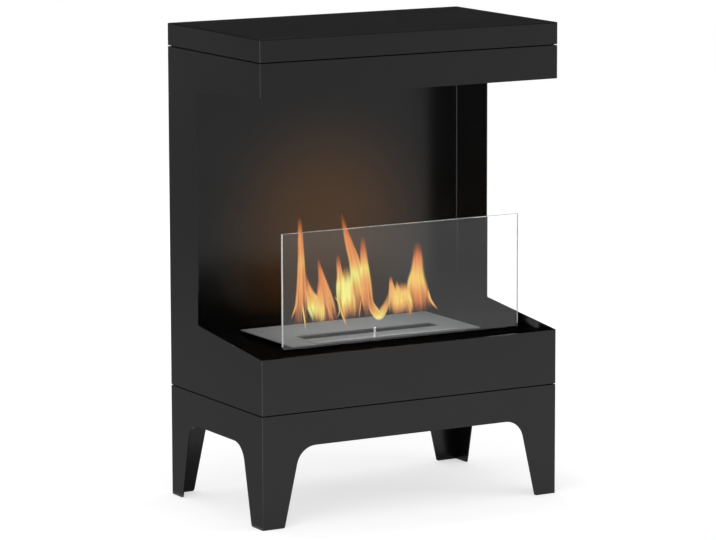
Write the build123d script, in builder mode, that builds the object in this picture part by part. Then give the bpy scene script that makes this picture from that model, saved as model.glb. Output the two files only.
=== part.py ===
from build123d import *
from math import copysign
import os

os.makedirs("parts", exist_ok=True)

# A free-standing bioethanol fireplace of folded black sheet steel. From the
# floor up: a frame with four tapered legs, a base, a fire chamber that is open
# at the front and at both sides, a hood, and a flat lid. A pane of glass
# stands in front of a stainless burner, which hangs in the chamber floor.
#
# X runs across the front, Y to the back and Z up. The origin is on the floor,
# under the middle of the casing. All sizes are in millimetres.

# ---- Driving dimensions: casing ----
body_width = 600.0
body_depth = 346.0
sheet = 2.0                  # thickness of every black sheet
corner_radius = 2.0          # outside radius of welded corners and folds
shadow_gap = 2.0             # dark joint under the lid and over the legs
fit = 0.2                    # play round a sheet that slips in between others
flange = 24.0                # width of a folded edge that takes bolts
turned_edge = 15.0           # depth of the edge that stiffens a plate
hood_return = 12.0           # width of the fold along the hood's lower edge

# ---- Driving dimensions: heights, from the floor up ----
leg_height = 200.0
base_height = 98.0
chamber_height = 453.5
hood_height = 59.0
lid_height = 39.5

# ---- Driving dimensions: side opening and chamber floor ----
column_depth = 108.5         # side panel left standing behind the opening
rim_rise = 25.0              # rim of the base climbs by this to the column
hood_drop = 12.5             # edge of the hood comes down by this to the column
opening_radius = 1.5
floor_recess = 7.0           # chamber floor below the front rim

# ---- Driving dimensions: leg frame ----
apron_height = 58.5
foot_width = 43.5
shoulder_width = 75.5        # width of a leg where it would meet the apron
side_foot_width = 41.5
side_shoulder_width = 73.5
arch_radius = 38.0
foot_radius = 4.5

# ---- Driving dimensions: fasteners ----
leg_bolt = 6.0               # thread of the bolts between legs and base
lid_bolt = 5.0               # thread of the screws under the lid
bolt_clearance = 0.3         # round a shank in its hole
nut_clearance = 0.1          # round a shank in its nut
bolt_margin = 70.0           # from a side of the casing to the nearest bolt
spacer_width = 16.0          # of the frames that hold a shadow gap open
spacer_setback = 5.0         # outer edge of such a frame behind the casing's faces

# ---- Driving dimensions: glass and its channel ----
glass_width = 480.0
glass_height = 240.0
glass_thickness = 5.0
glass_edge = 0.6             # polished chamfer
glass_sunk = 22.0            # depth of the pane's lower edge under the floor
glass_setback = 36.0         # front of the casing to the middle of the pane
glass_fit = 0.3              # play between the pane and its gasket
glass_end_gap = 1.0          # play at each end of the pane
gasket_thickness = 1.5
channel_sheet = 1.5
channel_lip = 12.0

# ---- Driving dimensions: burner ----
burner_width = 385.0
burner_depth = 194.2
burner_setback = 11.6        # middle of the top plate behind that of the casing
burner_rise = 8.0            # top of the plate above the chamber floor
burner_corner = 3.0
burner_sheet = 1.5
front_strip = 44.0           # plate in front of the slot
slot_length = 277.0
slot_width = 45.0
slot_lip = 7.0               # depth of the lip folded down round the slot
slot_corner = 1.0
tank_length = 330.0
tank_depth = 140.0
tank_height = 55.0
tank_setback = 7.5           # middle of the tank behind that of the casing
tank_corner = 10.0
tank_flange = 10.0
tank_clearance = 2.0         # round the tank in its cut-out
fibre_height = 30.0
fibre_gap = 0.3
retainer_sheet = 1.0
retainer_slot = 5.0
retainer_web = 11.0          # metal left between two slots
retainer_margin = 12.0       # metal left round the slots

# ---- Driving dimensions: shutter ----
shutter_sheet = 1.5
shutter_depth = 45.5
shutter_lap = 7.0            # cover past each end of the slot
shutter_corner = 2.0
slide_clearance = 0.3
tongue_width = 20.0
tongue_depth = 6.0
pin_diameter = 4.0
pin_height = 18.0
pin_offset = -24.0           # from the middle of the casing
pin_setback = 3.5            # from the shutter's front edge

# ---- Levels and planes that follow ----
half_width = body_width / 2
half_depth = body_depth / 2
inner_half_width = half_width - sheet
inner_front = -half_depth + sheet
back_face = half_depth - 2 * sheet

base_bottom = leg_height + shadow_gap
rim_level = base_bottom + base_height
hood_bottom = rim_level + chamber_height
hood_top = hood_bottom + hood_height
lid_bottom = hood_top + shadow_gap
lid_top = lid_bottom + lid_height
floor_level = rim_level - floor_recess
column_front = half_depth - column_depth

flange_line = (flange + sheet) / 2

glass_y = -half_depth + glass_setback
glass_bottom = floor_level - glass_sunk
channel_half_gap = glass_thickness / 2 + glass_fit + gasket_thickness
channel_floor = glass_bottom - gasket_thickness
channel_top = floor_level - sheet
glass_slot_length = glass_width + 2 * glass_end_gap

burner_top = floor_level + burner_rise
burner_front = burner_setback - burner_depth / 2
slot_front = burner_front + front_strip
slot_y = slot_front + slot_width / 2
tank_top = burner_top - burner_sheet
tank_bottom = tank_top - tank_height
fibre_bottom = tank_bottom + burner_sheet
fibre_top = fibre_bottom + fibre_height

shutter_rear = slot_front + slide_clearance + shutter_sheet
shutter_front = shutter_rear - shutter_depth
shutter_top = burner_top + shutter_sheet


# ---- Shapes that several pieces share ----
def wall_plan(side, width):
    """Plan of one side of the casing, mitred at its two corners."""
    front, rear = -half_depth, half_depth
    left, right = -half_width, half_width
    start, end = {
        "front": ((left, front), (right, front)),
        "right": ((right, front), (right, rear)),
        "rear": ((right, rear), (left, rear)),
        "left": ((left, rear), (left, front)),
    }[side]
    inner = [(x - copysign(width, x), y - copysign(width, y)) for x, y in (end, start)]
    with BuildSketch() as plan:
        RectangleRounded(body_width, body_depth, corner_radius)
        with BuildLine():
            Polyline(start, end, *inner, close=True)
        make_face(mode=Mode.INTERSECT)
    return plan.sketch


def tray(level, turn):
    """Plate that fills the casing in plan, its edges turned up (1) or down (-1)."""
    width = 2 * (inner_half_width - fit)
    depth = back_face - inner_front - 2 * fit
    middle = (back_face + inner_front) / 2
    with BuildPart() as blank:
        with BuildSketch(Plane.XY.offset(level)):
            with Locations((0, middle)):
                Rectangle(width, depth)
        extrude(amount=turn * turned_edge)
        with BuildSketch(Plane.XY.offset(level + turn * sheet)):
            with Locations((0, middle)):
                Rectangle(width - 2 * sheet, depth - 2 * sheet)
        extrude(amount=turn * (turned_edge - sheet), mode=Mode.SUBTRACT)
    return blank.part


def flange_points():
    """Plan of the four bolts, two on the middle line of the front and rear flange."""
    x_bolt = half_width - bolt_margin
    y_bolt = half_depth - flange_line
    return [(x, y) for x in (-x_bolt, x_bolt) for y in (-y_bolt, y_bolt)]


def flange_holes(thread):
    """Round faces for the bolt holes, to be cut through a flange."""
    with BuildSketch() as holes:
        with Locations(*flange_points()):
            Circle(thread / 2 + bolt_clearance)
    return holes.sketch


def bolt(thread, grip):
    """Hexagon bolt: the head's seat is on z = 0 and the shank points up."""
    with BuildPart() as made:
        with BuildSketch():
            Circle(thread / 2)
        extrude(amount=grip)
        with BuildSketch():
            RegularPolygon(0.83 * thread, 6, major_radius=False)
        extrude(amount=-0.65 * thread)
    return made.part


def nut(thread):
    """Hexagon nut standing on z = 0."""
    with BuildPart() as made:
        with BuildSketch():
            RegularPolygon(0.83 * thread, 6, major_radius=False)
            Circle(thread / 2 + nut_clearance, mode=Mode.SUBTRACT)
        extrude(amount=0.8 * thread)
    return made.part


def spacer(thread, level):
    """Flat frame, as thick as the shadow gap, that the four bolts pass."""
    width = body_width - 2 * spacer_setback
    depth = body_depth - 2 * spacer_setback
    with BuildPart() as made:
        with BuildSketch(Plane.XY.offset(level)):
            Rectangle(width, depth)
            Rectangle(width - 2 * spacer_width, depth - 2 * spacer_width, mode=Mode.SUBTRACT)
            add(flange_holes(thread), mode=Mode.SUBTRACT)
        extrude(amount=shadow_gap)
    return made


def tank_outline(margin):
    """Plan of the tank, larger by a margin all round."""
    with BuildSketch() as plan:
        with Locations((0, tank_setback)):
            RectangleRounded(
                tank_length + 2 * margin,
                tank_depth + 2 * margin,
                tank_corner + margin,
            )
    return plan.sketch


def on_flange(level):
    """Places of the four bolts at a given level."""
    return Locations(*[(x, y, level) for x, y in flange_points()])


def finish(built, name):
    """Names a piece and writes it to its file."""
    built.part.label = name
    export_step(built.part, f"parts/{name}.step")
    print(f"{name}: {len(built.part.solids())} solid(s), {built.part.volume / 1000:.1f} cm3")


# ---- Leg frame: four sheets, mitred and welded at the corners ----
def leg_panel(side, across, half_length, foot, shoulder):
    """One side of the leg frame: an apron between two tapered legs.

    The opening's legs lean out towards the floor, and its upper corners are
    large arcs. A flange is folded in along the top for the bolts.
    """
    apron_level = leg_height - apron_height
    with BuildPart() as panel:
        with BuildSketch():
            add(wall_plan(side, sheet))
        extrude(amount=leg_height)
        with BuildSketch(Plane.XY.offset(leg_height - sheet)):
            add(wall_plan(side, flange))
            add(flange_holes(leg_bolt), mode=Mode.SUBTRACT)
        extrude(amount=sheet)
        with BuildSketch(across):
            with BuildLine():
                Polyline(
                    (-half_length + foot, 0),
                    (-half_length + shoulder, apron_level),
                    (half_length - shoulder, apron_level),
                    (half_length - foot, 0),
                    close=True,
                )
            make_face()
            fillet(vertices().group_by(Axis.Y)[-1], arch_radius)
        extrude(amount=body_width, both=True, mode=Mode.SUBTRACT)
        through = Axis.Y if across == Plane.XZ else Axis.X
        tips = panel.edges().filter_by(through).group_by(Axis.Z)[0]
        fillet(tips, foot_radius)
    return panel


for side in ("front", "rear"):
    leg_wall = leg_panel(side, Plane.XZ, half_width, foot_width, shoulder_width)
    finish(leg_wall, f"leg_frame_{side}")

for side in ("left", "right"):
    leg_wall = leg_panel(side, Plane.YZ, half_depth, side_foot_width, side_shoulder_width)
    finish(leg_wall, f"leg_frame_{side}")


# ---- Base ----
with BuildPart() as base_front:
    with BuildSketch(Plane.XY.offset(base_bottom)):
        add(wall_plan("front", sheet))
    extrude(amount=base_height)
    with BuildSketch(Plane.XY.offset(base_bottom)):
        add(wall_plan("front", flange))
        add(flange_holes(leg_bolt), mode=Mode.SUBTRACT)
    extrude(amount=sheet)
finish(base_front, "base_front")

with BuildPart() as base_bottom_plate:
    add(tray(base_bottom + sheet, 1))
    with BuildSketch(Plane.XY.offset(base_bottom + sheet)):
        add(flange_holes(leg_bolt))
    extrude(amount=sheet, mode=Mode.SUBTRACT)
finish(base_bottom_plate, "base_bottom_plate")


# ---- Side panels: hood side, rear column and base side in one sheet ----
def side_panel(sign):
    """C-shaped side sheet, sign -1 for the left and 1 for the right.

    It meets the front bands in a mitre, is folded in behind the back panel,
    and has a flange along its lower edge that carries the bottom plate. The
    opening in front of the column narrows towards the back.
    """
    with BuildPart() as panel:
        with BuildSketch(Plane.XY.offset(base_bottom)):
            RectangleRounded(body_width, body_depth, corner_radius)
            with BuildLine():
                Polyline(
                    (sign * half_width, -half_depth),
                    (sign * inner_half_width, inner_front),
                    (sign * inner_half_width, half_depth - sheet),
                    (sign * (half_width - flange), half_depth - sheet),
                    (sign * (half_width - flange), half_depth),
                    (sign * half_width, half_depth),
                    close=True,
                )
            make_face(mode=Mode.INTERSECT)
        extrude(amount=hood_top - base_bottom)
        with BuildSketch(Plane.XY.offset(base_bottom)):
            RectangleRounded(body_width, body_depth, corner_radius)
            with BuildLine():
                Polyline(
                    (sign * half_width, -half_depth),
                    (sign * (half_width - flange), -half_depth + flange),
                    (sign * (half_width - flange), back_face - fit),
                    (sign * half_width, back_face - fit),
                    close=True,
                )
            make_face(mode=Mode.INTERSECT)
        extrude(amount=sheet)
        with BuildSketch(Plane.YZ):
            with BuildLine():
                Polyline(
                    (-half_depth, rim_level),
                    (column_front, rim_level + rim_rise),
                    (column_front, hood_bottom - hood_drop),
                    (-half_depth, hood_bottom),
                    close=True,
                )
            make_face()
            fillet(vertices().group_by(Axis.X)[-1], opening_radius)
        extrude(amount=body_width, both=True, mode=Mode.SUBTRACT)
    return panel


finish(side_panel(-1), "left_side_panel")
finish(side_panel(1), "right_side_panel")


# ---- Back panel: rear wall of base, chamber and hood ----
with BuildPart() as back_panel:
    with BuildSketch(Plane.XY.offset(base_bottom)):
        with Locations((0, back_face + sheet / 2)):
            Rectangle(2 * (inner_half_width - fit), sheet)
    extrude(amount=hood_top - base_bottom)
    # its lower edge is folded forwards, between the flanges of the side panels
    with BuildSketch(Plane.XY.offset(base_bottom)):
        with Locations((0, half_depth - flange_line - sheet)):
            Rectangle(2 * (half_width - flange - fit), flange - sheet)
        add(flange_holes(leg_bolt), mode=Mode.SUBTRACT)
    extrude(amount=sheet)
finish(back_panel, "back_panel")


# ---- Hood ----
with BuildPart() as hood_front:
    with BuildSketch(Plane.XY.offset(hood_bottom)):
        add(wall_plan("front", sheet))
    extrude(amount=hood_height)
    with BuildSketch(Plane.XY.offset(hood_bottom)):
        with Locations((0, -half_depth + (sheet + hood_return) / 2)):
            Rectangle(2 * (inner_half_width - fit), hood_return - sheet)
    extrude(amount=sheet)
finish(hood_front, "hood_front")

with BuildPart() as hood_ceiling:
    add(tray(hood_top, -1))
    with BuildSketch(Plane.XY.offset(hood_top)):
        add(flange_holes(lid_bolt))
    extrude(amount=-sheet, mode=Mode.SUBTRACT)
finish(hood_ceiling, "hood_ceiling")


# ---- Lid: a shallow tray, open below, with a flange folded in all round ----
with BuildPart() as lid_tray:
    with BuildSketch(Plane.XY.offset(lid_bottom)):
        RectangleRounded(body_width, body_depth, corner_radius)
    extrude(amount=lid_height)
    fillet(lid_tray.faces().sort_by(Axis.Z)[-1].edges(), corner_radius)
    with BuildSketch(Plane.XY.offset(lid_bottom)):
        Rectangle(body_width - 2 * sheet, body_depth - 2 * sheet)
    extrude(amount=lid_height - sheet, mode=Mode.SUBTRACT)
    with BuildSketch(Plane.XY.offset(lid_bottom)):
        Rectangle(body_width - 2 * sheet, body_depth - 2 * sheet)
        Rectangle(body_width - 2 * flange, body_depth - 2 * flange, mode=Mode.SUBTRACT)
        add(flange_holes(lid_bolt), mode=Mode.SUBTRACT)
    extrude(amount=sheet)
finish(lid_tray, "lid_tray")


# ---- Fasteners: legs to base, and lid to hood ----
leg_grip = 3 * sheet + shadow_gap
with BuildPart() as leg_bolts:
    with on_flange(leg_height - sheet):
        add(bolt(leg_bolt, leg_grip + leg_bolt))
finish(leg_bolts, "leg_bolts")

finish(spacer(leg_bolt, leg_height), "leg_spacer")

with BuildPart() as leg_nuts:
    with on_flange(base_bottom + 2 * sheet):
        add(nut(leg_bolt))
finish(leg_nuts, "leg_nuts")

lid_grip = 2 * sheet + shadow_gap
with BuildPart() as lid_screws:
    with on_flange(hood_top - sheet):
        add(bolt(lid_bolt, lid_grip + lid_bolt))
finish(lid_screws, "lid_screws")

finish(spacer(lid_bolt, hood_top), "lid_spacer")

with BuildPart() as lid_nuts:
    with on_flange(lid_bottom + sheet):
        add(nut(lid_bolt))
finish(lid_nuts, "lid_nuts")


# ---- Chamber floor, with a cut-out for the tank and a slot for the glass ----
with BuildPart() as floor_plate:
    add(tray(floor_level, -1))
    with BuildSketch(Plane.XY.offset(floor_level)):
        add(tank_outline(tank_clearance))
        with Locations((0, glass_y)):
            Rectangle(glass_slot_length, 2 * channel_half_gap)
    extrude(amount=-sheet, mode=Mode.SUBTRACT)
finish(floor_plate, "floor_plate")


# ---- Glass: channel under the floor, gasket in it, and the pane ----
with BuildPart() as glass_channel:
    channel_height = channel_top - channel_floor + channel_sheet
    with BuildSketch(Plane.YZ):
        with Locations((glass_y, channel_top)):
            Rectangle(
                2 * (channel_half_gap + channel_sheet),
                channel_height,
                align=(Align.CENTER, Align.MAX),
            )
            Rectangle(
                2 * (channel_half_gap + channel_sheet + channel_lip),
                channel_sheet,
                align=(Align.CENTER, Align.MAX),
            )
            Rectangle(
                2 * channel_half_gap,
                channel_height - channel_sheet,
                align=(Align.CENTER, Align.MAX),
                mode=Mode.SUBTRACT,
            )
    extrude(amount=glass_slot_length / 2, both=True)
finish(glass_channel, "glass_channel")

with BuildPart() as glass_gasket:
    with BuildSketch(Plane.YZ):
        with Locations((glass_y, channel_floor)):
            Rectangle(
                2 * channel_half_gap,
                floor_level - channel_floor,
                align=(Align.CENTER, Align.MIN),
            )
        with Locations((glass_y, glass_bottom)):
            Rectangle(
                glass_thickness + 2 * glass_fit,
                glass_sunk,
                align=(Align.CENTER, Align.MIN),
                mode=Mode.SUBTRACT,
            )
    extrude(amount=glass_width / 2, both=True)
finish(glass_gasket, "glass_gasket")

with BuildPart() as glass_pane:
    with BuildSketch(Plane.XY.offset(glass_bottom)):
        with Locations((0, glass_y)):
            Rectangle(glass_width, glass_thickness)
    extrude(amount=glass_height)
    chamfer(glass_pane.edges(), glass_edge)
finish(glass_pane, "glass_pane")


# ---- Burner: flat top plate over a fuel tank ----
with BuildPart() as burner_plate:
    with BuildSketch(Plane.XY.offset(burner_top)):
        with Locations((0, burner_setback)):
            RectangleRounded(burner_width, burner_depth, burner_corner)
    extrude(amount=-burner_sheet)
    # a collar under the plate stands on the floor, round the tank's flange
    with BuildSketch(Plane.XY.offset(floor_level)):
        add(tank_outline(tank_flange + fit + burner_sheet))
        add(tank_outline(tank_flange + fit), mode=Mode.SUBTRACT)
    extrude(amount=burner_rise - burner_sheet)
    # the slot, with a lip folded down all round it
    with BuildSketch(Plane.XY.offset(burner_top)):
        with Locations((0, slot_y)):
            RectangleRounded(
                slot_length + 2 * burner_sheet,
                slot_width + 2 * burner_sheet,
                slot_corner + burner_sheet,
            )
    extrude(amount=-slot_lip)
    with BuildSketch(Plane.XY.offset(burner_top)):
        with Locations((0, slot_y)):
            RectangleRounded(slot_length, slot_width, slot_corner)
    extrude(amount=-slot_lip, mode=Mode.SUBTRACT)
finish(burner_plate, "burner_plate")

with BuildPart() as burner_tank:
    with BuildSketch(Plane.XY.offset(tank_bottom)):
        add(tank_outline(0))
    extrude(amount=tank_height)
    with BuildSketch(Plane.XY.offset(tank_top)):
        add(tank_outline(tank_flange))
    extrude(amount=-burner_sheet)
    with BuildSketch(Plane.XY.offset(tank_bottom + burner_sheet)):
        add(tank_outline(-burner_sheet))
    extrude(amount=tank_height, mode=Mode.SUBTRACT)
finish(burner_tank, "burner_tank")

with BuildPart() as ceramic_fibre:
    with BuildSketch(Plane.XY.offset(fibre_bottom)):
        add(tank_outline(-burner_sheet - fibre_gap))
    extrude(amount=fibre_height)
finish(ceramic_fibre, "ceramic_fibre")

fibre_length = tank_length - 2 * (burner_sheet + fibre_gap)
fibre_depth = tank_depth - 2 * (burner_sheet + fibre_gap)
retainer_pitch = retainer_slot + retainer_web
retainer_count = int((fibre_length - 2 * retainer_margin) / retainer_pitch)
with BuildPart() as fibre_retainer:
    with BuildSketch(Plane.XY.offset(fibre_top)):
        add(tank_outline(-burner_sheet - fibre_gap))
        with Locations((0, tank_setback)):
            with GridLocations(retainer_pitch, 1, retainer_count, 1):
                Rectangle(
                    retainer_slot,
                    fibre_depth - 2 * retainer_margin,
                    mode=Mode.SUBTRACT,
                )
    extrude(amount=retainer_sheet)
finish(fibre_retainer, "fibre_retainer")


# ---- Shutter: a plate that is pushed back over the slot by its pin ----
# Two tongues hang from its rear edge into the slot. They keep the plate square
# and stop it at the slot's front lip when open and at its rear lip when shut.
with BuildPart() as shutter_plate:
    with BuildSketch(Plane.XY.offset(burner_top)):
        with Locations((0, (shutter_front + shutter_rear) / 2)):
            RectangleRounded(slot_length + 2 * shutter_lap, shutter_depth, shutter_corner)
    extrude(amount=shutter_sheet)
    tongue_x = (slot_length - tongue_width) / 2 - slot_corner
    with BuildSketch(Plane.XY.offset(burner_top)):
        with Locations((-tongue_x, shutter_rear), (tongue_x, shutter_rear)):
            Rectangle(tongue_width, shutter_sheet, align=(Align.CENTER, Align.MAX))
    extrude(amount=-tongue_depth)
finish(shutter_plate, "shutter_plate")

with BuildPart() as shutter_pin:
    with BuildSketch(Plane.XY.offset(shutter_top)):
        with Locations((pin_offset, shutter_front + pin_setback)):
            Circle(pin_diameter / 2)
    extrude(amount=pin_height)
    chamfer(shutter_pin.edges().sort_by(Axis.Z)[-1], pin_diameter / 8)
finish(shutter_pin, "shutter_pin")

shutter_travel = slot_width - 2 * slide_clearance - shutter_sheet
print(f"casing {body_width} x {body_depth} x {lid_top}")
print(f"shutter travel {shutter_travel:.1f}")
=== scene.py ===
# %% [markdown]
# # A bioethanol fireplace
#
# The fireplace stands free on the floor. Its casing is folded and welded sheet
# steel with a black powder coat: four tapered legs, a base, a fire chamber that
# is open at the front and at both sides, a hood and a flat lid. A pane of
# toughened glass stands in front of a brushed stainless burner, and the flames
# rise from the burner's slot.
#
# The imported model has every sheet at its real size, so the sheets stay as they
# are here and only get their finishes. What has no solid, the flames and two thin
# welds, is made in this script, and so are the room, the lamps and the camera.

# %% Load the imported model
import math

import bmesh
import bpy
from mathutils import Matrix, Vector


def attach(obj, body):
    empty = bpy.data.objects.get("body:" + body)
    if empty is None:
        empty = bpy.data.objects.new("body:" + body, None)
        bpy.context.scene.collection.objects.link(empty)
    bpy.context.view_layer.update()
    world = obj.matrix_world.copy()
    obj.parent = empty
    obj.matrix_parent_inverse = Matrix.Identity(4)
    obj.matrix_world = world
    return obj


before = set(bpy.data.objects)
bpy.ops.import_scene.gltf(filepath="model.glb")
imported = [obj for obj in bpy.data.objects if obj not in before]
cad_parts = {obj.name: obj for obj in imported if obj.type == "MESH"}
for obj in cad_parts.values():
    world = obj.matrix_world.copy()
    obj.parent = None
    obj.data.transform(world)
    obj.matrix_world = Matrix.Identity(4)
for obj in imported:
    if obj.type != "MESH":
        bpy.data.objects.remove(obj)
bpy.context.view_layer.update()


# %% [markdown]
# ## The camera
#
# The photograph was taken from the left of the front, a little above the lid,
# through a long lens. Its place was found by fitting a camera to the straight
# edges of the casing. The lens follows from the fit's focal length in pixels,
# for an image that is 716 pixels wide and a sensor of 36 mm. A new camera looks
# straight down, so it is first raised by 90 degrees to look along +Y.

# %% Camera
FOCAL_PIXELS, IMAGE_WIDTH, SENSOR = 3853.41, 716, 36.0
YAW, PITCH, ROLL, RAISED = -29.64923, -9.31699, 0.15427, 90.0
CAMERA_PLACE = (-3.37805, -5.91617, 1.52671)
NEAREST, FARTHEST = 0.1, 200.0

camera_data = bpy.data.cameras.new("camera")
camera_data.sensor_width = SENSOR
camera_data.lens = FOCAL_PIXELS * SENSOR / IMAGE_WIDTH
camera_data.clip_start, camera_data.clip_end = NEAREST, FARTHEST
camera = bpy.data.objects.new("camera", camera_data)
turn = Matrix.Identity(3)
for angle, axis in ((YAW, "Z"), (PITCH, "X"), (ROLL, "Y"), (RAISED, "X")):
    turn = turn @ Matrix.Rotation(math.radians(angle), 3, axis)
camera.matrix_world = Matrix.Translation(CAMERA_PLACE) @ turn.to_4x4()
bpy.context.scene.collection.objects.link(camera)
bpy.context.scene.camera = camera
print("lens", round(camera_data.lens, 2), "mm")


# %% [markdown]
# ## Helpers
#
# Colours are written as the sRGB hex values that a paint chart gives, and the
# renderer wants linear light, so one function turns the one into the other.
# A length in millimetres is turned into metres by `MM`. A pattern's scale is
# one over the size of its grain, so `per(0.5)` is a pattern of half-millimetre
# grains.

# %% Colour and length
MM = 0.001


def hex_colour(code):
    """'#1c1c1c' to linear red, green, blue and an alpha of 1."""
    channels = [int(code[i:i + 2], 16) / 255 for i in (1, 3, 5)]
    linear = [c / 12.92 if c <= 0.04045 else ((c + 0.055) / 1.055) ** 2.4 for c in channels]
    return linear + [1.0]


def per(grain_mm):
    """Scale of a pattern whose grains are this many millimetres wide."""
    return 1 / (grain_mm * MM)


print("mid grey:", [round(c, 3) for c in hex_colour("#808080")])

# %% [markdown]
# A finish is a material, and its look is a small graph of nodes. `put` adds one
# node to it. `set_finish` hands the finish to the pieces that have it.

# %% Finishes and their nodes
def new_finish(name):
    """An empty material."""
    finish = bpy.data.materials.new(name)
    finish.use_nodes = True
    finish.node_tree.nodes.clear()
    return finish


def put(finish, kind, sockets=None, stops=(), **settings):
    """Adds a node, sets its properties, and fills or links its input sockets.

    A socket takes a number, a colour, another node's output, or another node,
    which stands for its first output. A colour ramp takes its stops, in order:
    a place from 0 to 1 and a hex colour each.
    """
    node = finish.node_tree.nodes.new("ShaderNode" + kind)
    for name, value in settings.items():
        setattr(node, name, value)
    for name, value in (sockets or {}).items():
        if isinstance(value, bpy.types.Node):
            value = value.outputs[0]
        if isinstance(value, bpy.types.NodeSocket):
            finish.node_tree.links.new(value, node.inputs[name])
        else:
            node.inputs[name].default_value = value
    if stops:
        ramp = node.color_ramp.elements
        ramp[0].position, ramp[1].position = stops[0][0], stops[-1][0]
        for position, code in stops[1:-1]:
            ramp.new(position)
        for stop, (position, code) in zip(ramp, stops):
            stop.color = hex_colour(code)
    return node


def set_finish(finish, *pieces):
    """Gives CAD nodes, by their names, or new pieces this finish all over."""
    for piece in pieces:
        if isinstance(piece, str):
            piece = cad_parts[piece]
        piece.data.materials.clear()
        piece.data.materials.append(finish)
    print(finish.name, "on", len(pieces), "pieces")


# %% [markdown]
# ## Black powder coat
#
# Powder coat is a polyester powder that is sprayed on dry and melted in an oven.
# It flows out to a satin skin with a faint orange peel, finer than a millimetre.
# To the eye that is a near-black sheet with a soft, slightly uneven shine.
# The real grain is too fine to show from across a room, so it is drawn two to
# three times as coarse. A wide, weak pattern varies the shine, because the
# coat is never equally thick.

# %% Powder coat: grain, tone and shine
PEEL, PEEL_DEPTH, CLOUD = 1.6, 0.03, 120.0       # mm

powder = new_finish("black_powder_coat")
place = put(powder, "TexCoord")
peel = put(powder, "TexNoise", {
    "Vector": place.outputs["Object"], "Scale": per(PEEL), "Detail": 2.0,
})
shade = put(powder, "ValToRGB", {"Fac": peel}, stops=[(0.35, "#040404"), (0.65, "#070707")])
cloud = put(powder, "TexNoise", {
    "Vector": place.outputs["Object"], "Scale": per(CLOUD), "Detail": 3.0,
})
shine = put(powder, "MapRange", {
    "Value": cloud, "From Min": 0.3, "From Max": 0.7, "To Min": 0.22, "To Max": 0.27,
})
bump = put(powder, "Bump", {"Height": peel, "Strength": 0.15, "Distance": PEEL_DEPTH * MM})
print("powder coat's peel", PEEL, "mm, cloud", CLOUD, "mm")

# %% [markdown]
# The upright corners of the base and the legs get a thin, paler line painted on
# their rounding: a painted highlight where the fold catches the light. A corner
# is found from |x| + |y|, which is largest there. Its 2 mm rounding starts at
# 471 mm and has its middle at 471.8.

# %% Powder coat: painted highlight on the corners
HALF_WIDTH, HALF_DEPTH, FOLD_RADIUS = 300.0, 173.0, 2.0      # of the casing, mm
FOLD_STARTS = HALF_WIDTH + HALF_DEPTH - FOLD_RADIUS
HIGHLIGHT_STARTS, HIGHLIGHT_FULL = FOLD_STARTS + 0.1, FOLD_STARTS + 0.7
RIM, HIGHLIGHT_FADES = 300.0, 30.0                                 # of the base, mm

spot = put(powder, "VectorMath", {0: place.outputs["Object"]}, operation="ABSOLUTE")
corner = put(powder, "VectorMath", {0: spot, 1: (1.0, 1.0, 0.0)}, operation="DOT_PRODUCT")
highlighted = put(powder, "MapRange", {
    "Value": corner.outputs["Value"],
    "From Min": HIGHLIGHT_STARTS * MM, "From Max": HIGHLIGHT_FULL * MM,
})
height = put(powder, "SeparateXYZ", {"Vector": place.outputs["Object"]})
low = put(powder, "MapRange", {
    "Value": height.outputs["Z"],
    "From Min": (RIM + HIGHLIGHT_FADES) * MM, "From Max": RIM * MM,
})
highlighted = put(powder, "Math", {0: highlighted, 1: low}, operation="MULTIPLY")
# Painted highlight: the corner's rounding is mixed towards #2f2f2e, fading out above the rim.
painted_highlight_tone = put(powder, "Mix", {
    "Factor": highlighted, "A": shade, "B": hex_colour("#2f2f2e"),
}, data_type="RGBA")
print("corners are rubbed below", RIM + HIGHLIGHT_FADES, "mm")

# %% [markdown]
# The cured polyester is a plain dielectric, so the coat has no metal in it. The
# peel goes into its colour and its bump, and the cloud into its roughness.

# %% Powder coat: surface
coat = put(powder, "BsdfPrincipled", {
    "Base Color": painted_highlight_tone.outputs["Result"],
    "Roughness": shine,
    "IOR": 1.45,
    "Normal": bump,
})
put(powder, "OutputMaterial", {"Surface": coat})
set_finish(
    powder, "leg_frame_front", "leg_frame_rear", "leg_frame_left", "leg_frame_right",
    "base_front", "base_bottom_plate", "left_side_panel", "right_side_panel", "back_panel",
    "hood_front", "hood_ceiling", "lid_tray", "glass_channel",
)

# %% [markdown]
# ## Heat-resistant paint and painted shade
#
# The chamber floor and the two spacers have a thin black paint that stands the
# heat. Its index is set just over that of air, so it mirrors next to nothing and
# stays black: painted shade on the chamber floor and in the shadow gaps.

# %% Heat-resistant paint and painted shade
heat_paint_and_shade = new_finish("black_heat_paint")
place = put(heat_paint_and_shade, "TexCoord")
peel = put(heat_paint_and_shade, "TexNoise", {
    "Vector": place.outputs["Object"], "Scale": per(PEEL), "Detail": 2.0,
})
shine = put(heat_paint_and_shade, "MapRange", {
    "Value": peel, "From Min": 0.3, "From Max": 0.7, "To Min": 0.18, "To Max": 0.22,
})
# Painted shade: near-black #030303 with an index of 1.03, so almost no reflection.
coat = put(heat_paint_and_shade, "BsdfPrincipled", {
    "Base Color": hex_colour("#030303"), "Roughness": shine, "IOR": 1.03,
})
put(heat_paint_and_shade, "OutputMaterial", {"Surface": coat})
set_finish(heat_paint_and_shade, "floor_plate", "leg_spacer", "lid_spacer")


# %% [markdown]
# ## Brushed stainless steel
#
# The burner is cut from sheet that was brushed along its length with an abrasive
# belt. The scratches are about a tenth of a millimetre wide and some centimetres
# long. They are drawn as noise that is stretched along X, a few times as wide as
# real so that they show.

# %% Brushed stainless steel: scratches
SCRATCH, SCRATCH_DEPTH, STRETCH = 0.5, 0.02, 50.0      # mm, mm, times as long as wide

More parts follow.
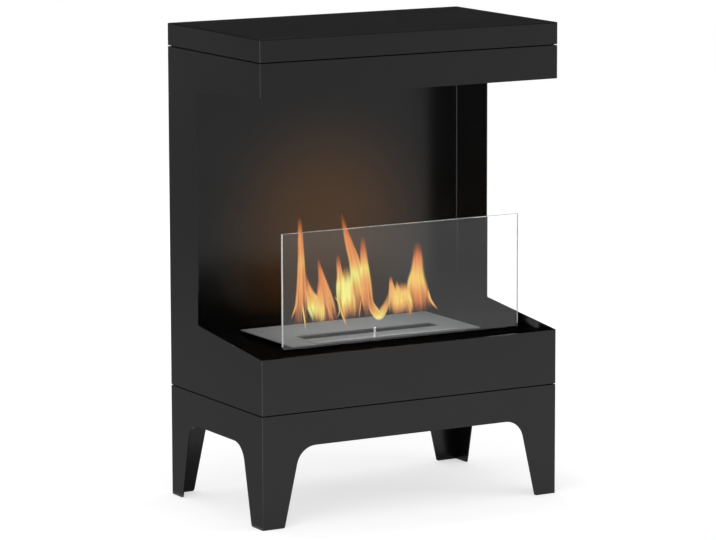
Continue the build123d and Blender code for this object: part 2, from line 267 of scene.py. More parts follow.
steel = new_finish("brushed_stainless")
place = put(steel, "TexCoord")
along = put(steel, "Mapping", {
    "Vector": place.outputs["Object"], "Scale": (1 / STRETCH, 1.0, 1.0),
})
scratch = put(steel, "TexNoise", {
    "Vector": along, "Scale": per(SCRATCH), "Detail": 4.0, "Roughness": 0.7,
})
bright = put(steel, "ValToRGB", {"Fac": scratch}, stops=[(0.3, "#a6a8aa"), (0.7, "#b0b2b3")])
dull = put(steel, "MapRange", {
    "Value": scratch, "From Min": 0.3, "From Max": 0.7, "To Min": 0.28, "To Max": 0.31,
})
bump = put(steel, "Bump", {
    "Height": scratch, "Strength": 0.03, "Distance": SCRATCH_DEPTH * MM,
})
print("scratches", SCRATCH, "mm wide and", SCRATCH * STRETCH, "mm long")

# %% [markdown]
# Fine brushing scatters part of the light in every direction, which the
# photograph shows as an even pale grey. So the surface is part metal and part
# diffuse. Under the top sheet, in the slot and the tank, the colour is painted
# darker: painted shade in the recess. The slot's lip ends at 294 mm, and the
# underside of the top sheet is at 299.5 mm.

# %% Brushed stainless steel: painted shade and surface
LIP_END, SHADE_FADES, SHADE_ENDS, UNSHADED_STARTS = 294.0, 298.0, 298.6, 299.6      # mm

spot = put(steel, "SeparateXYZ", {"Vector": place.outputs["Object"]})
shade_depth = put(steel, "MapRange", {
    "Value": spot.outputs["Z"], "From Min": LIP_END * MM, "From Max": SHADE_FADES * MM,
})
# Painted shade: below the top sheet the colour goes dark, darkest at the foot of the lip.
shaded_tone = put(steel, "Mix", {
    "Factor": shade_depth, "A": hex_colour("#161514"), "B": hex_colour("#4c4a48"),
}, data_type="RGBA")
unshaded = put(steel, "MapRange", {
    "Value": spot.outputs["Z"], "From Min": SHADE_ENDS * MM, "From Max": UNSHADED_STARTS * MM,
})
tone = put(steel, "Mix", {
    "Factor": unshaded, "A": shaded_tone.outputs["Result"], "B": bright,
}, data_type="RGBA")
metal = put(steel, "BsdfPrincipled", {
    "Base Color": tone.outputs["Result"],
    "Metallic": 0.72,
    "Roughness": dull,
    "Normal": bump,
})
put(steel, "OutputMaterial", {"Surface": metal})
set_finish(steel, "burner_plate", "burner_tank", "fibre_retainer", "shutter_plate")


# %% [markdown]
# ## Turned steel and zinc
#
# The shutter's pin is a turned and polished stainless pin. It is so thin that it
# shows mostly the room's white light, and that reflection is painted into it as a
# near-white, largely diffuse colour: a painted reflection, paler than the sheet.
# Its turning marks are drawn a few times as coarse as they are.
# The bolts and nuts have the blue-white zinc plate of ordinary hardware, whose
# crystals are a millimetre or two wide.

# %% Turned pin and zinc-plated hardware
TURNING, SPANGLE = 0.6, 1.8      # mm

turned = new_finish("turned_stainless")
place = put(turned, "TexCoord")
rings = put(turned, "TexNoise", {
    "Vector": place.outputs["Object"], "Scale": per(TURNING), "Detail": 2.0,
})
dull = put(turned, "MapRange", {"Value": rings, "To Min": 0.12, "To Max": 0.28})
metal = put(turned, "BsdfPrincipled", {
    # Painted reflection: near-white #f4f5f6, mostly diffuse, for the room that the pin
    # mirrors.
    "Base Color": hex_colour("#f4f5f6"), "Metallic": 0.2, "Roughness": dull,
})
put(turned, "OutputMaterial", {"Surface": metal})
set_finish(turned, "shutter_pin")

zinc = new_finish("zinc_plate")
place = put(zinc, "TexCoord")
spangle = put(zinc, "TexVoronoi", {"Vector": place.outputs["Object"], "Scale": per(SPANGLE)})
tone = put(zinc, "ValToRGB", {"Fac": spangle}, stops=[(0.0, "#b3b9bf"), (1.0, "#d3d7da")])
metal = put(zinc, "BsdfPrincipled", {"Base Color": tone, "Metallic": 1.0, "Roughness": 0.32})
put(zinc, "OutputMaterial", {"Surface": metal})
set_finish(zinc, "leg_bolts", "leg_nuts", "lid_screws", "lid_nuts")


# %% [markdown]
# ## Toughened glass
#
# The pane is clear float glass, 5 mm thick, with ground and polished edges. It
# is a closed solid, so a plain refracting surface gives the true result: a weak
# white reflection over the dark chamber. In the photograph that reflection is
# weaker than bare glass's index of 1.5 gives, so the index is a little lower.

# %% Clear glass
GLASS_INDEX = 1.415

glass = new_finish("clear_glass")
clear = put(glass, "BsdfPrincipled", {
    "Base Color": hex_colour("#fbfdfc"),
    "Roughness": 0.0,
    "IOR": GLASS_INDEX,
    "Transmission Weight": 1.0,
})
facing = ((GLASS_INDEX - 1) / (GLASS_INDEX + 1)) ** 2
print("a face of the pane mirrors", round(100 * facing, 1), "% straight on")

# %% [markdown]
# The edges were ground before they were polished, and a little of that matt
# surface is left. It is drawn as a near-white matt skin, stronger than ground
# glass alone, that stands for the light in the edges: a painted highlight. The
# matt part starts where the 0.6 mm chamfer does. It is uneven, weaker on the top
# edge, and fades out between 311 and 314 mm, by the gasket: painted shade at the
# foot of the pane.

# %% Ground edges of the pane, with painted highlight
PANE_SIDE, PANE_TOP = 240.0, 511.0           # mm from the middle, and over the ground
MATT_FROM, MATT_FULL = 0.7, 0.5              # mm in from the edge
FOOT_SHADE_BOTTOM, FOOT_SHADE_TOP = 311.0, 314.0         # mm
SIDE_EDGE, TOP_EDGE, GRIT = 1.25, 0.6, 2.5   # two strengths, and mm

place = put(glass, "TexCoord")
spot = put(glass, "SeparateXYZ", {"Vector": place.outputs["Object"]})
aside = put(glass, "Math", {0: spot.outputs["X"]}, operation="ABSOLUTE")
aside = put(glass, "MapRange", {
    "Value": aside, "To Max": SIDE_EDGE,
    "From Min": (PANE_SIDE - MATT_FROM) * MM, "From Max": (PANE_SIDE - MATT_FULL) * MM,
})
above = put(glass, "MapRange", {
    "Value": spot.outputs["Z"], "To Max": TOP_EDGE,
    "From Min": (PANE_TOP - MATT_FROM) * MM, "From Max": (PANE_TOP - MATT_FULL) * MM,
})
ground_and_glint = put(glass, "Math", {0: aside, 1: above}, operation="MAXIMUM")
grit = put(glass, "TexNoise", {
    "Vector": place.outputs["Object"], "Scale": per(GRIT), "Detail": 2.0,
})
# Painted shade: below 314 mm the white edge fades out, and it is gone by 311 mm.
above_foot_shade = put(glass, "MapRange", {
    "Value": spot.outputs["Z"], "From Min": FOOT_SHADE_BOTTOM * MM, "From Max": FOOT_SHADE_TOP * MM,
})
for mask in (grit, above_foot_shade):
    ground_and_glint = put(glass, "Math", {0: ground_and_glint, 1: mask}, operation="MULTIPLY")
# Painted highlight: a near-white matt skin for the light that the edges carry.
matt_and_glint = put(glass, "BsdfPrincipled", {"Base Color": hex_colour("#f2f6f5"), "Roughness": 0.4})
pane = put(glass, "MixShader", {0: ground_and_glint, 1: clear, 2: matt_and_glint})
put(glass, "OutputMaterial", {"Surface": pane})
set_finish(glass, "glass_pane")


# %% [markdown]
# ## Silicone gasket and ceramic fibre
#
# The gasket is extruded black silicone, matt and a little dusty. The fibre is
# a needled ceramic blanket that soaks up the fuel: off-white, with matted
# threads some tenths of a millimetre thick, so it is rough and lumpy. They are
# drawn about twice as thick, so that they show.

# %% Gasket and fibre
DUST, THREAD, LUMP = 3.0, 0.9, 0.6       # mm

silicone = new_finish("black_silicone")
place = put(silicone, "TexCoord")
dust = put(silicone, "TexNoise", {
    "Vector": place.outputs["Object"], "Scale": per(DUST), "Detail": 4.0,
})
dull = put(silicone, "MapRange", {"Value": dust, "To Min": 0.55, "To Max": 0.8})
rubber = put(silicone, "BsdfPrincipled", {
    "Base Color": hex_colour("#141414"), "Roughness": dull, "IOR": 1.41,
})
put(silicone, "OutputMaterial", {"Surface": rubber})
set_finish(silicone, "glass_gasket")

blanket = new_finish("ceramic_blanket")
place = put(blanket, "TexCoord")
thread = put(blanket, "TexNoise", {
    "Vector": place.outputs["Object"], "Scale": per(THREAD),
    "Detail": 6.0, "Roughness": 0.75, "Distortion": 1.5,
})
tone = put(blanket, "ValToRGB", {"Fac": thread}, stops=[(0.3, "#b9b4a6"), (0.6, "#e9e6dc")])
bump = put(blanket, "Bump", {"Height": thread, "Strength": 0.8, "Distance": LUMP * MM})
wool = put(blanket, "BsdfPrincipled", {"Base Color": tone, "Roughness": 0.95, "Normal": bump})
put(blanket, "OutputMaterial", {"Surface": wool})
set_finish(blanket, "ceramic_fibre")


# %% [markdown]
# ## Welds in the chamber's rear corners
#
# The side panels are welded to the back panel from inside, and the weld is
# dressed to a hollow of 2 mm radius under the same coat. It catches the light as
# a thin upright line. One point is spun through a quarter turn, and the arc that
# it draws is extruded upwards. A face that looks out of the chamber is flipped,
# and the faces are sorted, because the extrusion leaves them in no fixed order.

# %% Corner welds
SIDE_INSIDE, BACK_INSIDE = 298.0, 169.0      # faces of the side and back panels, mm
WELD_FOOT, WELD_TOP = 293.2, 798.0           # mm
WELD_RADIUS, WELD_STEPS = 2.0, 8


def as_object(name, shape, smooth=False):
    """Turns a bmesh into an object at the origin."""
    for face in shape.faces:
        face.smooth = smooth
    mesh = bpy.data.meshes.new(name)
    shape.to_mesh(mesh)
    shape.free()
    piece = bpy.data.objects.new(name, mesh)
    bpy.context.scene.collection.objects.link(piece)
    return piece


def corner_weld(name, sign):
    """Hollow strip in the left (sign -1) or right (sign 1) rear corner."""
    centre = Vector((sign * (SIDE_INSIDE - WELD_RADIUS), BACK_INSIDE - WELD_RADIUS, WELD_FOOT))
    start = centre + Vector((sign * WELD_RADIUS, 0, 0))
    shape = bmesh.new()
    point = bmesh.ops.create_vert(shape, co=start * MM)["vert"]
    bmesh.ops.spin(shape, geom=point, cent=centre * MM, axis=(0, 0, 1),
                   angle=sign * math.radians(90), steps=WELD_STEPS)
    strip = bmesh.ops.extrude_edge_only(shape, edges=shape.edges)
    top = [part for part in strip["geom"] if isinstance(part, bmesh.types.BMVert)]
    bmesh.ops.translate(shape, verts=top, vec=(0, 0, (WELD_TOP - WELD_FOOT) * MM))
    shape.normal_update()
    for face in shape.faces:
        if face.normal.x * sign > 0:
            face.normal_flip()
    shape.faces.sort(key=lambda face: face.calc_center_median().x)
    weld = as_object(name, shape, smooth=True)
    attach(weld, "casing")
    return weld


welds = [corner_weld("corner_weld_left", -1), corner_weld("corner_weld_right", 1)]
set_finish(powder, *welds)


# %% [markdown]
# ## The flames
#
# An ethanol flame is a thin sheet of glowing soot round a clear core. Low over
# the slot it is almost invisible, then yellow, and orange at the tips. It could
# be a volume, but a volume has no surface that another program can use. Here
# each large tongue is two upright sheets that cross on one line, so that it has
# a body from every side, and a small one is a single sheet. Each sheet is a grid
# whose points are moved to the tongue's outline. Its UV map runs across and up
# the tongue, and the material reads it.
#
# A flame flickers. One noise, stretched along the tongue, moves its edges, its
# foot and its colour. It changes from tongue to tongue, because it also follows
# the place in the fire.

# %% Flame: flicker
OVER_A_TONGUE = (1.7, 0.8, 0.0)      # noise per tongue, across and up
OVER_THE_FIRE = (25.0, 25.0, 6.0)    # noise per metre

flame = new_finish("ethanol_flame")
uv = put(flame, "UVMap", uv_map="tongue")
place = put(flame, "TexCoord")
on_tongue = put(flame, "VectorMath", {0: uv, 1: OVER_A_TONGUE}, operation="MULTIPLY")
in_fire = put(flame, "VectorMath", {
    0: place.outputs["Object"], 1: OVER_THE_FIRE,
}, operation="MULTIPLY")
lick = put(flame, "VectorMath", {0: on_tongue, 1: in_fire}, operation="ADD")
lick = put(flame, "TexNoise", {
    "Vector": lick, "Scale": 1.6, "Detail": 3.0, "Roughness": 0.55,
})
FLICKER = {"Value": lick, "From Min": 0.3, "From Max": 0.7}
split = put(flame, "SeparateXYZ", {"Vector": uv})
print("flicker over a tongue", OVER_A_TONGUE[:2])

# %% [markdown]
# The sheet fades at its edges, with a bright line just inside each edge, where
# one looks along the glowing skin. `side` is 0 on the tongue's middle line and 1
# at its edges. Higher up the fade is wider, so the tips are softer.

# %% Flame: soft edges and bright rim
side = put(flame, "MapRange", {"Value": split.outputs["X"], "To Min": -1.0, "To Max": 1.0})
wave = put(flame, "MapRange", {**FLICKER, "To Min": -0.07, "To Max": 0.07})
side = put(flame, "Math", {0: side, 1: wave}, operation="ADD")
side = put(flame, "Math", {0: side}, operation="ABSOLUTE")
soft = put(flame, "MapRange", {
    "Value": split.outputs["Y"],
    "From Min": 0.3, "From Max": 1.0, "To Min": 0.66, "To Max": 0.25,
})
edge = put(flame, "MapRange", {
    "Value": side, "From Min": 1.0, "From Max": soft,
}, interpolation_type="SMOOTHSTEP")
inner = put(flame, "MapRange", {
    "Value": side, "From Min": 0.45, "From Max": 0.84,
}, interpolation_type="SMOOTHSTEP")
rim = put(flame, "Math", {0: edge, 1: inner}, operation="MULTIPLY")
print("flame nodes so far:", len(flame.node_tree.nodes))

# %% [markdown]
# How much the flame covers what is behind it: nothing at the foot, most of it
# in the body, and less and less in the tip. Streaks of the flicker run through
# the body.

# %% Flame: cover
ragged = put(flame, "MapRange", {**FLICKER, "To Min": -0.06, "To Max": 0.06})
along = put(flame, "Math", {0: split.outputs["Y"], 1: ragged}, operation="ADD")
foot = put(flame, "MapRange", {
    "Value": along, "From Min": 0.0, "From Max": 0.24,
}, interpolation_type="SMOOTHSTEP")
tip = put(flame, "MapRange", {
    "Value": split.outputs["Y"], "From Min": 1.0, "From Max": 0.62,
}, interpolation_type="SMOOTHSTEP")
streak = put(flame, "MapRange", {
    "Value": lick, "From Min": 0.35, "From Max": 0.6, "To Min": 0.82, "To Max": 1.0,
})
dense = put(flame, "MapRange", {
    "Value": along, "From Min": 0.03, "From Max": 0.38, "To Min": 0.3, "To Max": 1.0,
})
streak = put(flame, "Math", {0: streak, 1: dense}, operation="MULTIPLY")
streak = put(flame, "MapRange", {"Value": rim, "To Min": streak, "To Max": 1.0})
cover = edge
for part in (foot, tip, streak):
    cover = put(flame, "Math", {0: cover, 1: part}, operation="MULTIPLY")
print("flame nodes so far:", len(flame.node_tree.nodes))

# %% [markdown]
# A second value, `warmth`, is stored at each point of a sheet and says how hot
# the flame is there. It picks the colour, from orange red to pale yellow. The
# flicker and the bright rim add a little to it.

# %% Flame: colour and surface
RIM_HEAT = 0.16

warm = put(flame, "Attribute", attribute_name="warmth")
patch = put(flame, "MapRange", {**FLICKER, "To Min": -0.12, "To Max": 0.12})
heat = put(flame, "Math", {0: warm.outputs["Fac"], 1: patch}, operation="ADD")
heat = put(flame, "Math", {0: rim, 1: RIM_HEAT, 2: heat}, operation="MULTIPLY_ADD")
glow = put(flame, "ValToRGB", {"Fac": heat}, stops=[
    (0.0, "#a8411c"), (0.25, "#dc7339"), (0.5, "#ed9957"),
    (0.75, "#f5bb66"), (0.9, "#f8da70"), (1.0, "#fcf28c"),
])
air = put(flame, "BsdfTransparent")
fire = put(flame, "Emission", {"Color": glow, "Strength": 1.0})
mixed = put(flame, "MixShader", {0: cover, 1: air, 2: fire})
put(flame, "OutputMaterial", {"Surface": mixed})
print("flame nodes in all:", len(flame.node_tree.nodes))


# %% [markdown]
# A tongue is described by its spine: a few points from the foot to the tip,
# each with the tongue's half width there. A smooth curve runs through them. The
# hot spots are the pale yellow patches low in the fire, each a place (x, z), a
# radius and a gain. Away from them a flame is coolest at its foot and its tip.

# %% Spines and warmth
HOT_SPOTS = [
    (-107, 345, 21, 0.5), (-47, 378, 24, 0.55), (-34, 402, 16, 0.35), (-14, 415, 12, 0.45),
    (22, 326, 14, 0.4), (61, 357, 23, 0.42), (95, 391, 16, 0.35), (-139, 438, 9, 0.2),
]
SPOT_STRETCH = 1.5                           # hot spots are taller than wide
BODY_GAIN = 0.05
TIP_STARTS, TIP_COOLING, TIP_BEND = 0.5, 0.6, 1.3
FOOT_ENDS, FOOT_COOLING = 0.3, 0.8


def on_curve(points, t):
    """Point at t (0 to 1) of a smooth curve through evenly shared points."""
    place = t * (len(points) - 1)
    i = min(int(place), len(points) - 2)
    f = place - i
    before, after = points[max(i - 1, 0)], points[min(i + 2, len(points) - 1)]
    a, b, c, d = Vector(before), Vector(points[i]), Vector(points[i + 1]), Vector(after)
    bend, twist = 2 * a - 5 * b + 4 * c - d, 3 * b - a - 3 * c + d
    return 0.5 * (2 * b + (c - a) * f + bend * f ** 2 + twist * f ** 3)


def warmth(x, z, rise, base):
    """How hot the flame is at a place: 0 is orange red and 1 pale yellow."""
    heat = base + BODY_GAIN - TIP_COOLING * max(rise - TIP_STARTS, 0.0) ** TIP_BEND
    heat -= FOOT_COOLING * max(FOOT_ENDS - rise, 0.0)
    for spot_x, spot_z, radius, gain in HOT_SPOTS:
        away = (x - spot_x) ** 2 + ((z - spot_z) / SPOT_STRETCH) ** 2
        heat += gain * math.exp(-away / radius ** 2)
    return heat


radii = [radius for x, z, radius, gain in HOT_SPOTS]
print(len(HOT_SPOTS), "hot spots, of", min(radii), "to", max(radii), "mm radius")

# %% [markdown]
# Each point of a sheet starts in a flat square, from -1 to 1. Its height there
# says how far up the spine it goes, and its place across says how far out from
# the spine it goes, square to the spine's own direction.

# %% Flame tongue
GRID_ACROSS, GRID_UP = 12, 48        # faces of a sheet
NARROWER, MOST_DEPTH = 0.6, 14       # of the sheet that runs front to back: a factor, mm
NEARBY = 0.01                        # of the spine's length, to find its direction


def flame_tongue(name, depth, base, crossed, spine):
    """Sheet along a spine of (x, z, half width), in millimetres, at y = depth.

    A crossed tongue has a second, narrower sheet that runs front to back.
    """
    shape = bmesh.new()
    shape.loops.layers.uv.new("tongue")
    store = shape.verts.layers.float.new("warmth")
    for front_to_back in (False, True)[:1 + crossed]:
        sheet = bmesh.ops.create_grid(
            shape, x_segments=GRID_ACROSS, y_segments=GRID_UP, size=1.0, calc_uvs=True)
        for point in sheet["verts"]:
            side, rise = point.co.x, (point.co.y + 1) / 2
            x, z, half = on_curve(spine, rise)
            above, below = min(rise + NEARBY, 1), max(rise - NEARBY, 0)
            way = on_curve(spine, above) - on_curve(spine, below)
            across = Vector((way.y, -way.x)).normalized()
            reach = side * max(half, 0.0)
            point[store] = warmth(x, z, rise, base)
            if front_to_back:
                back = max(-MOST_DEPTH, min(MOST_DEPTH, NARROWER * reach))
                point.co = Vector((x, depth + back, z)) * MM
            else:
                point.co = Vector((x + reach * across.x, depth, z + reach * across.y)) * MM
    piece = as_object(name, shape, smooth=True)
    piece.visible_diffuse = piece.visible_glossy = False
    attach(piece, "burner")
    return piece


print("a sheet has", GRID_ACROSS, "by", GRID_UP, "faces")

# %% [markdown]
# The large and small tongues, as they stand in the photograph and mostly from
# left to right. Each row has a name, the tongue's y, the warmth of its body,
# whether it is crossed, and its spine of (x, z, half width).

# %% Tongues
TONGUES = [
    ("flame_1", -19, 0.42, True, [
        (-140, 320, 16), (-139, 360, 12.5), (-138, 396, 11), (-138, 438, 8.6),
        (-139, 477, 6.8), (-139, 499, 5.8), (-140, 521, 4.6)]),
    ("flame_2", -16, 0.46, False, [
        (-103, 323, 11.3), (-105, 341, 15.2), (-111, 360, 18.1), (-120, 380, 11.1),
        (-127, 403, 6.2), (-132, 430, 3.4)]),
    ("flame_3", -22, 0.34, True, [
        (-78, 320, 15), (-84, 356, 14), (-93, 389, 10.5), (-99, 412, 7),
        (-103, 428, 5), (-106, 443, 3.4)]),
    ("flame_4", -15, 0.36, False, [
        (-48, 335, 12), (-54, 376, 12.5), (-57, 406, 7.5), (-60, 427, 5.8),
        (-62, 447, 4.4)]),
    ("flame_5", -19, 0.38, True, [
        (-22, 325, 16), (-22, 363, 17.5), (-24, 396, 15.5), (-29, 429, 12.5),
        (-39, 458, 10), (-46, 480, 7.4), (-51, 501, 5.6), (-56, 523, 4)]),
    ("flame_6", -17, 0.44, False, [
        (-37, 325, 15), (-41, 361, 17), (-44, 392, 14), (-46, 424, 7)]),
    ("flame_7", -21, 0.42, True, [
        (1, 325, 10.5), (-4, 361, 13), (-7, 394, 12), (-11, 427, 10),
        (-13, 452, 8.6), (-14, 477, 6.8)]),
    ("flame_8", -18, 0.48, False, [
        (-3, 388, 4), (2, 359, 6.4), (10, 340, 9), (22, 328, 10.6),
        (33, 340, 9), (42, 359, 6.4), (47, 381, 4)]),
    ("flame_9", -17, 0.36, True, [
        (53, 325, 13), (52, 353, 12), (49, 373, 8), (47, 386, 5.2), (47, 398, 3.2)]),
    ("flame_10", -20, 0.38, False, [
        (64, 325, 16), (62, 350, 14), (60, 366, 8), (58, 378, 4.4), (57, 390, 2.6)]),
    ("flame_11", -19, 0.36, True, [
        (105, 323, 34), (102, 348, 29), (99, 378, 23), (100, 403, 16),
        (101, 424, 13), (101, 440, 11), (101, 457, 8.5)]),
    ("flame_12", -22, 0.38, False, [
        (72, 326, 22), (71, 345, 22), (70, 360, 19), (70, 373, 16), (71, 386, 11)]),
    ("flame_13", -18, 0.36, False, [
        (-99, 324, 10.3), (-99, 346, 11.3), (-99, 368, 9.4), (-100, 391, 6.2),
        (-101, 420, 2.5)]),
]
tongues = [flame_tongue(*row) for row in TONGUES]
set_finish(flame, *tongues)

# %% [markdown]
# Thin pale filaments curl round the feet of the tongues, where the flame's skin
# folds. They are single sheets, two to six millimetres wide.

# %% Filaments
FILAMENTS = [
    ("filament_1", -12, 0.7, False, [(-134, 373, 1.3), (-130, 347, 1.8), (-124, 307, 1.4)]),
    ("filament_2", -13, 0.35, False, [(-87, 372, 1.6), (-79, 346, 2), (-66, 318, 1.5)]),
    ("filament_3", -12, 0.55, False, [
        (-67, 369, 1.4), (-58, 357, 1.8), (-56, 342, 1.8), (-63, 327, 1.4)]),
    ("filament_4", -11, 0.65, False, [(-55, 351, 1.4), (-49, 331, 1.9), (-40, 310, 1.5)]),
    ("filament_5", -12, 0.5, False, [(-11, 362, 1), (-14, 344, 1.3), (-17, 323, 1)]),
    ("filament_6", -11, 0.7, False, [(-16, 404, 1.8), (-11, 371, 2.3), (-4, 338, 1.6)]),
    ("filament_7", -12, 0.7, False, [(85, 375, 1.5), (87, 344, 1.9), (92, 316, 1.6)]),
    ("filament_8", -18, 0.6, False, [(-146, 384, 2.1), (-148, 361, 2.6), (-159, 335, 2.1)]),
    ("filament_9", -20, 0.6, False, [(121, 370, 2.1), (128, 346, 2.8), (144, 327, 2.1)]),
]
filaments = [flame_tongue(*row) for row in FILAMENTS]
set_finish(flame, *filaments)


# %% [markdown]
# ## The room
#
# A plain pale floor and an even, soft light. The floor is one large flat square,
# so wide that its edge shows in no view.

# %% Floor
FLOOR_REACH = 40.0       # metres from the middle

shape = bmesh.new()
bmesh.ops.create_grid(shape, x_segments=1, y_segments=1, size=FLOOR_REACH)
floor = as_object("floor", shape)
print("the floor reaches", FLOOR_REACH, "m each way")

# %% [markdown]
# The floor is white paint, and a part of its brightness is given to camera,
# reflection and glass rays alone, so that the object stands on white and keeps a
# soft shadow. In reflections the floor grows dimmer two to three metres away, as
# it does round a studio table. A ray that first passes the pane and then meets
# the coat counts as a glass ray, and its glossy depth tells that it should see
# the dimmed floor too.

# %% White floor paint
WHITE = (1.0, 1.0, 1.0, 1.0)
DIM_FROM, DIM_TO = 1.6, 3.0                          # metres from the middle
DIM_NEAR, DIM_FAR, FLOOR_GLOW = 0.86, 0.4, 0.6       # white is 1

white = new_finish("white_floor_paint")
paint = put(white, "BsdfDiffuse", {"Color": hex_colour("#c8c8c8")})
place = put(white, "TexCoord")
away = put(white, "VectorMath", {0: place.outputs["Object"]}, operation="LENGTH")
dimmer = put(white, "MapRange", {
    "Value": away.outputs["Value"], "From Min": DIM_FROM, "From Max": DIM_TO,
    "To Min": DIM_NEAR, "To Max": DIM_FAR,
}, interpolation_type="SMOOTHSTEP")
rays = put(white, "LightPath")
mirrored = put(white, "Math", {
    0: rays.outputs["Is Glossy Ray"], 1: dimmer,
}, operation="MULTIPLY")
after_coat = put(white, "MapRange", {
    "Value": rays.outputs["Glossy Depth"], "To Min": 1.0, "To Max": dimmer,
})
through = put(white, "Math", {
    0: rays.outputs["Is Transmission Ray"], 1: after_coat,
}, operation="MULTIPLY")
seen = put(white, "Math", {
    0: rays.outputs["Is Camera Ray"], 1: mirrored,
}, operation="MAXIMUM")
seen = put(white, "Math", {0: seen, 1: through}, operation="MAXIMUM")
seen = put(white, "Math", {0: seen, 1: FLOOR_GLOW}, operation="MULTIPLY")
lift = put(white, "Emission", {"Color": WHITE, "Strength": seen})
both = put(white, "AddShader", {0: paint, 1: lift})
put(white, "OutputMaterial", {"Surface": both})
set_finish(white, floor)

# %% [markdown]
# Beyond the floor there is only the world. The camera, reflections and the glass
# see it as white, and it lights the object a little less brightly than that.

# %% World
SKY_LIGHT, SKY_SEEN = 0.7, 1.0

world = bpy.data.worlds.new("world")
bpy.context.scene.world = world
world.use_nodes = True
world.node_tree.nodes.clear()
rays = put(world, "LightPath")
seen = put(world, "Math", {
    0: rays.outputs["Is Camera Ray"], 1: rays.outputs["Is Glossy Ray"],
}, operation="MAXIMUM")
seen = put(world, "Math", {
    0: seen, 1: rays.outputs["Is Transmission Ray"],
}, operation="MAXIMUM")
level = put(world, "MapRange", {"Value": seen, "To Min": SKY_LIGHT, "To Max": SKY_SEEN})
sky = put(world, "Background", {"Color": WHITE, "Strength": level})
put(world, "OutputWorld", {"Surface": sky})
print("the world lights at", SKY_LIGHT)


# %% [markdown]
# Three large soft boxes: the key from the front left, a weaker fill from the
# right, and one behind for the back panel. A small one under the hood lights
# the burner's top, and a narrow one from the left picks out the shutter's pin.
# These two are so near that the coat and the pane would mirror them as bright
# patches, so reflections and the glass don't see them.

# %% Lamps
MIDDLE = (0, 0, 0.45)        # of the fireplace, metres


def soft_box(name, place, aim, size, watts):
    """A white area lamp, size (wide, high), that looks at a point; metres."""
    data = bpy.data.lights.new(name, "AREA")
    data.shape, data.size, data.size_y, data.energy = "RECTANGLE", size[0], size[1], watts
    lamp = bpy.data.objects.new(name, data)
    lamp.location = place
    lamp.rotation_euler = (Vector(aim) - Vector(place)).to_track_quat("-Z", "Y").to_euler()
    lamp.visible_camera = False
    bpy.context.scene.collection.objects.link(lamp)
    return lamp


soft_box("key", (-2.7, -2.1, 1.1), MIDDLE, (2.4, 2.0), 50)
soft_box("fill", (3.6, -2.6, 1.2), MIDDLE, (1.5, 1.5), 25)
soft_box("back", (0.0, 4.2, 0.9), MIDDLE, (1.6, 1.4), 30)
over_burner = soft_box(
    "burner_light", (0.0, 0.0, 0.735), (0.0, 0.0, 0.3), (0.36, 0.16), 1.0)
on_pin = soft_box(
    "pin_light", (-0.62, -0.05, 0.334), (-0.024, -0.082, 0.312), (0.012, 0.012), 0.1)
for lamp, spread in ((over_burner, 80), (on_pin, 3.2)):
    lamp.data.spread = math.radians(spread)
    lamp.visible_glossy = lamp.visible_transmission = False
print("lamps:", len(bpy.data.lights))

# %% [markdown]
# ## What the coat mirrors
#
# The coat is nearly black, so what it shows is its reflections. The sheets of
# the flames are left out of those, because they are thin and would make hard
# streaks. A round warm card behind them stands for their light in the back wall.
# It faces the wall, and reflections alone see it.

# %% Warm card
CARD_RADIUS, CARD_CENTRE = 0.28, (0.044, 0.12, 0.458)        # metres


def only_mirrored(piece):
    """Hides a card or cloth from everything but reflections."""
    piece.visible_camera = piece.visible_diffuse = False
    piece.visible_transmission = piece.visible_shadow = False


shape = bmesh.new()
bmesh.ops.create_circle(shape, cap_ends=True, segments=48, radius=CARD_RADIUS)
facing_back = Matrix.Rotation(math.radians(-90), 3, "X")
bmesh.ops.rotate(shape, verts=shape.verts, matrix=facing_back)
bmesh.ops.translate(shape, verts=shape.verts, vec=Vector(CARD_CENTRE))
card = as_object("flame_glow", shape)
only_mirrored(card)
print("the card is", 2 * CARD_RADIUS, "m across")

# %% [markdown]
# The card glows in the amber of the fire. The glow fades from the card's middle
# to its edge, so that no outline of a card shows, and the card is clear from
# behind.

# %% Warm card: light
CARD_STRENGTH = 1.42     # white is 1

paper = new_finish("flame_glow_paper")
place = put(paper, "TexCoord")
away = put(paper, "VectorMath", {
    0: place.outputs["Object"], 1: CARD_CENTRE,
}, operation="DISTANCE")
fade = put(paper, "MapRange", {
    "Value": away.outputs["Value"], "From Min": CARD_RADIUS, "From Max": 0.0,
    "To Max": CARD_STRENGTH,
}, interpolation_type="SMOOTHERSTEP")
behind = put(paper, "NewGeometry")
fade = put(paper, "MapRange", {
    "Value": behind.outputs["Backfacing"], "To Min": fade, "To Max": 0.0,
})
light = put(paper, "Emission", {"Color": hex_colour("#ffa420"), "Strength": fade})
clear = put(paper, "BsdfTransparent")
both = put(paper, "AddShader", {0: clear, 1: light})
put(paper, "OutputMaterial", {"Surface": both})
set_finish(paper, card)

# %% [markdown]
# Dark cloths, in the way of a photographer's flags, are seen by reflections
# alone too. A grid a metre wide is turned upright where that is needed, scaled
# to the cloth's size and moved to its place. Its brightness may change with the
# distance from the fireplace.

# %% Dark flags
FADE_FROM, FADE_TO = 1.8, 3.3        # metres from the middle of the ground


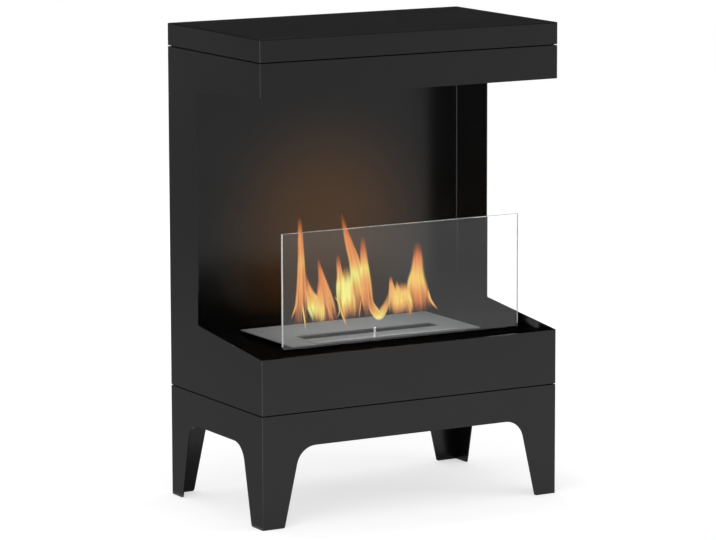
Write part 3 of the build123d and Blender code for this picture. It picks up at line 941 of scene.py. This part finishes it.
def flag(name, cloths, near, far, open_below=False):
    """Dark cloths of a brightness that goes from near to far with the distance.

    Each cloth is a rectangle between two opposite corners, in metres, that is
    flat along one axis. One that is open below lets rays through from there.
    """
    shape = bmesh.new()
    for low, high in cloths:
        low, high = Vector(low), Vector(high)
        verts = bmesh.ops.create_grid(shape, x_segments=1, y_segments=1, size=0.5)["verts"]
        for axis, stands in (("Y", low.x == high.x), ("X", low.y == high.y)):
            if stands:
                upright = Matrix.Rotation(math.radians(90), 3, axis)
                bmesh.ops.rotate(shape, verts=verts, matrix=upright)
        bmesh.ops.scale(shape, verts=verts, vec=high - low)
        bmesh.ops.translate(shape, verts=verts, vec=(low + high) / 2)
    cloth = as_object(name, shape)
    only_mirrored(cloth)
    finish = new_finish(name + "_cloth")
    place = put(finish, "TexCoord")
    away = put(finish, "VectorMath", {0: place.outputs["Object"]}, operation="LENGTH")
    fade = put(finish, "MapRange", {
        "Value": away.outputs["Value"], "From Min": FADE_FROM, "From Max": FADE_TO,
        "To Min": near, "To Max": far,
    })
    dim = put(finish, "Emission", {"Color": WHITE, "Strength": fade})
    if open_below:
        behind = put(finish, "NewGeometry")
        clear = put(finish, "BsdfTransparent")
        dim = put(finish, "MixShader", {0: behind.outputs["Backfacing"], 1: dim, 2: clear})
    put(finish, "OutputMaterial", {"Surface": dim})
    set_finish(finish, cloth)


print("a flag fades from", FADE_FROM, "to", FADE_TO, "m")

# %% [markdown]
# The first flag hangs overhead, for the lid's top. The second stands and lies to
# the left rear, for the left side. The third lies under the casing, in its
# shadow, for the insides of the legs. A low one in the chamber, and one that
# lies just over the burner, keep the foot of the back wall dark in reflections:
# painted shade. The last is open below, so the burner still mirrors the room over
# it.

# %% Hang the flags
flag("top_flag", [((-40, -40, 2.3), (40, 40, 2.3))], 0.9, 0.012)
flag("left_flag", [
    ((-2, -0.3, 0.002), (-0.303, 8, 0.002)),
    ((-2, -0.3, 0.002), (-2, 8, 2.3)),
], 0.34, 0.23)
flag("under_flag", [((-0.3, -0.17, 0.002), (0.3, 0.17, 0.002))], 0.22, 0.22)
flag("low_flag", [((-0.296, -0.128, 0.303), (0.296, -0.128, 0.352))], 0.0, 0.0)
flag("plate_flag", [((-0.296, -0.127, 0.304), (0.296, 0.166, 0.304))], 0.0, 0.0,
     open_below=True)


# %% [markdown]
# ## Finish
#
# The view transform is Standard, so a colour comes out as it is written.

# %% View transform
bpy.context.scene.view_settings.view_transform = "Standard"
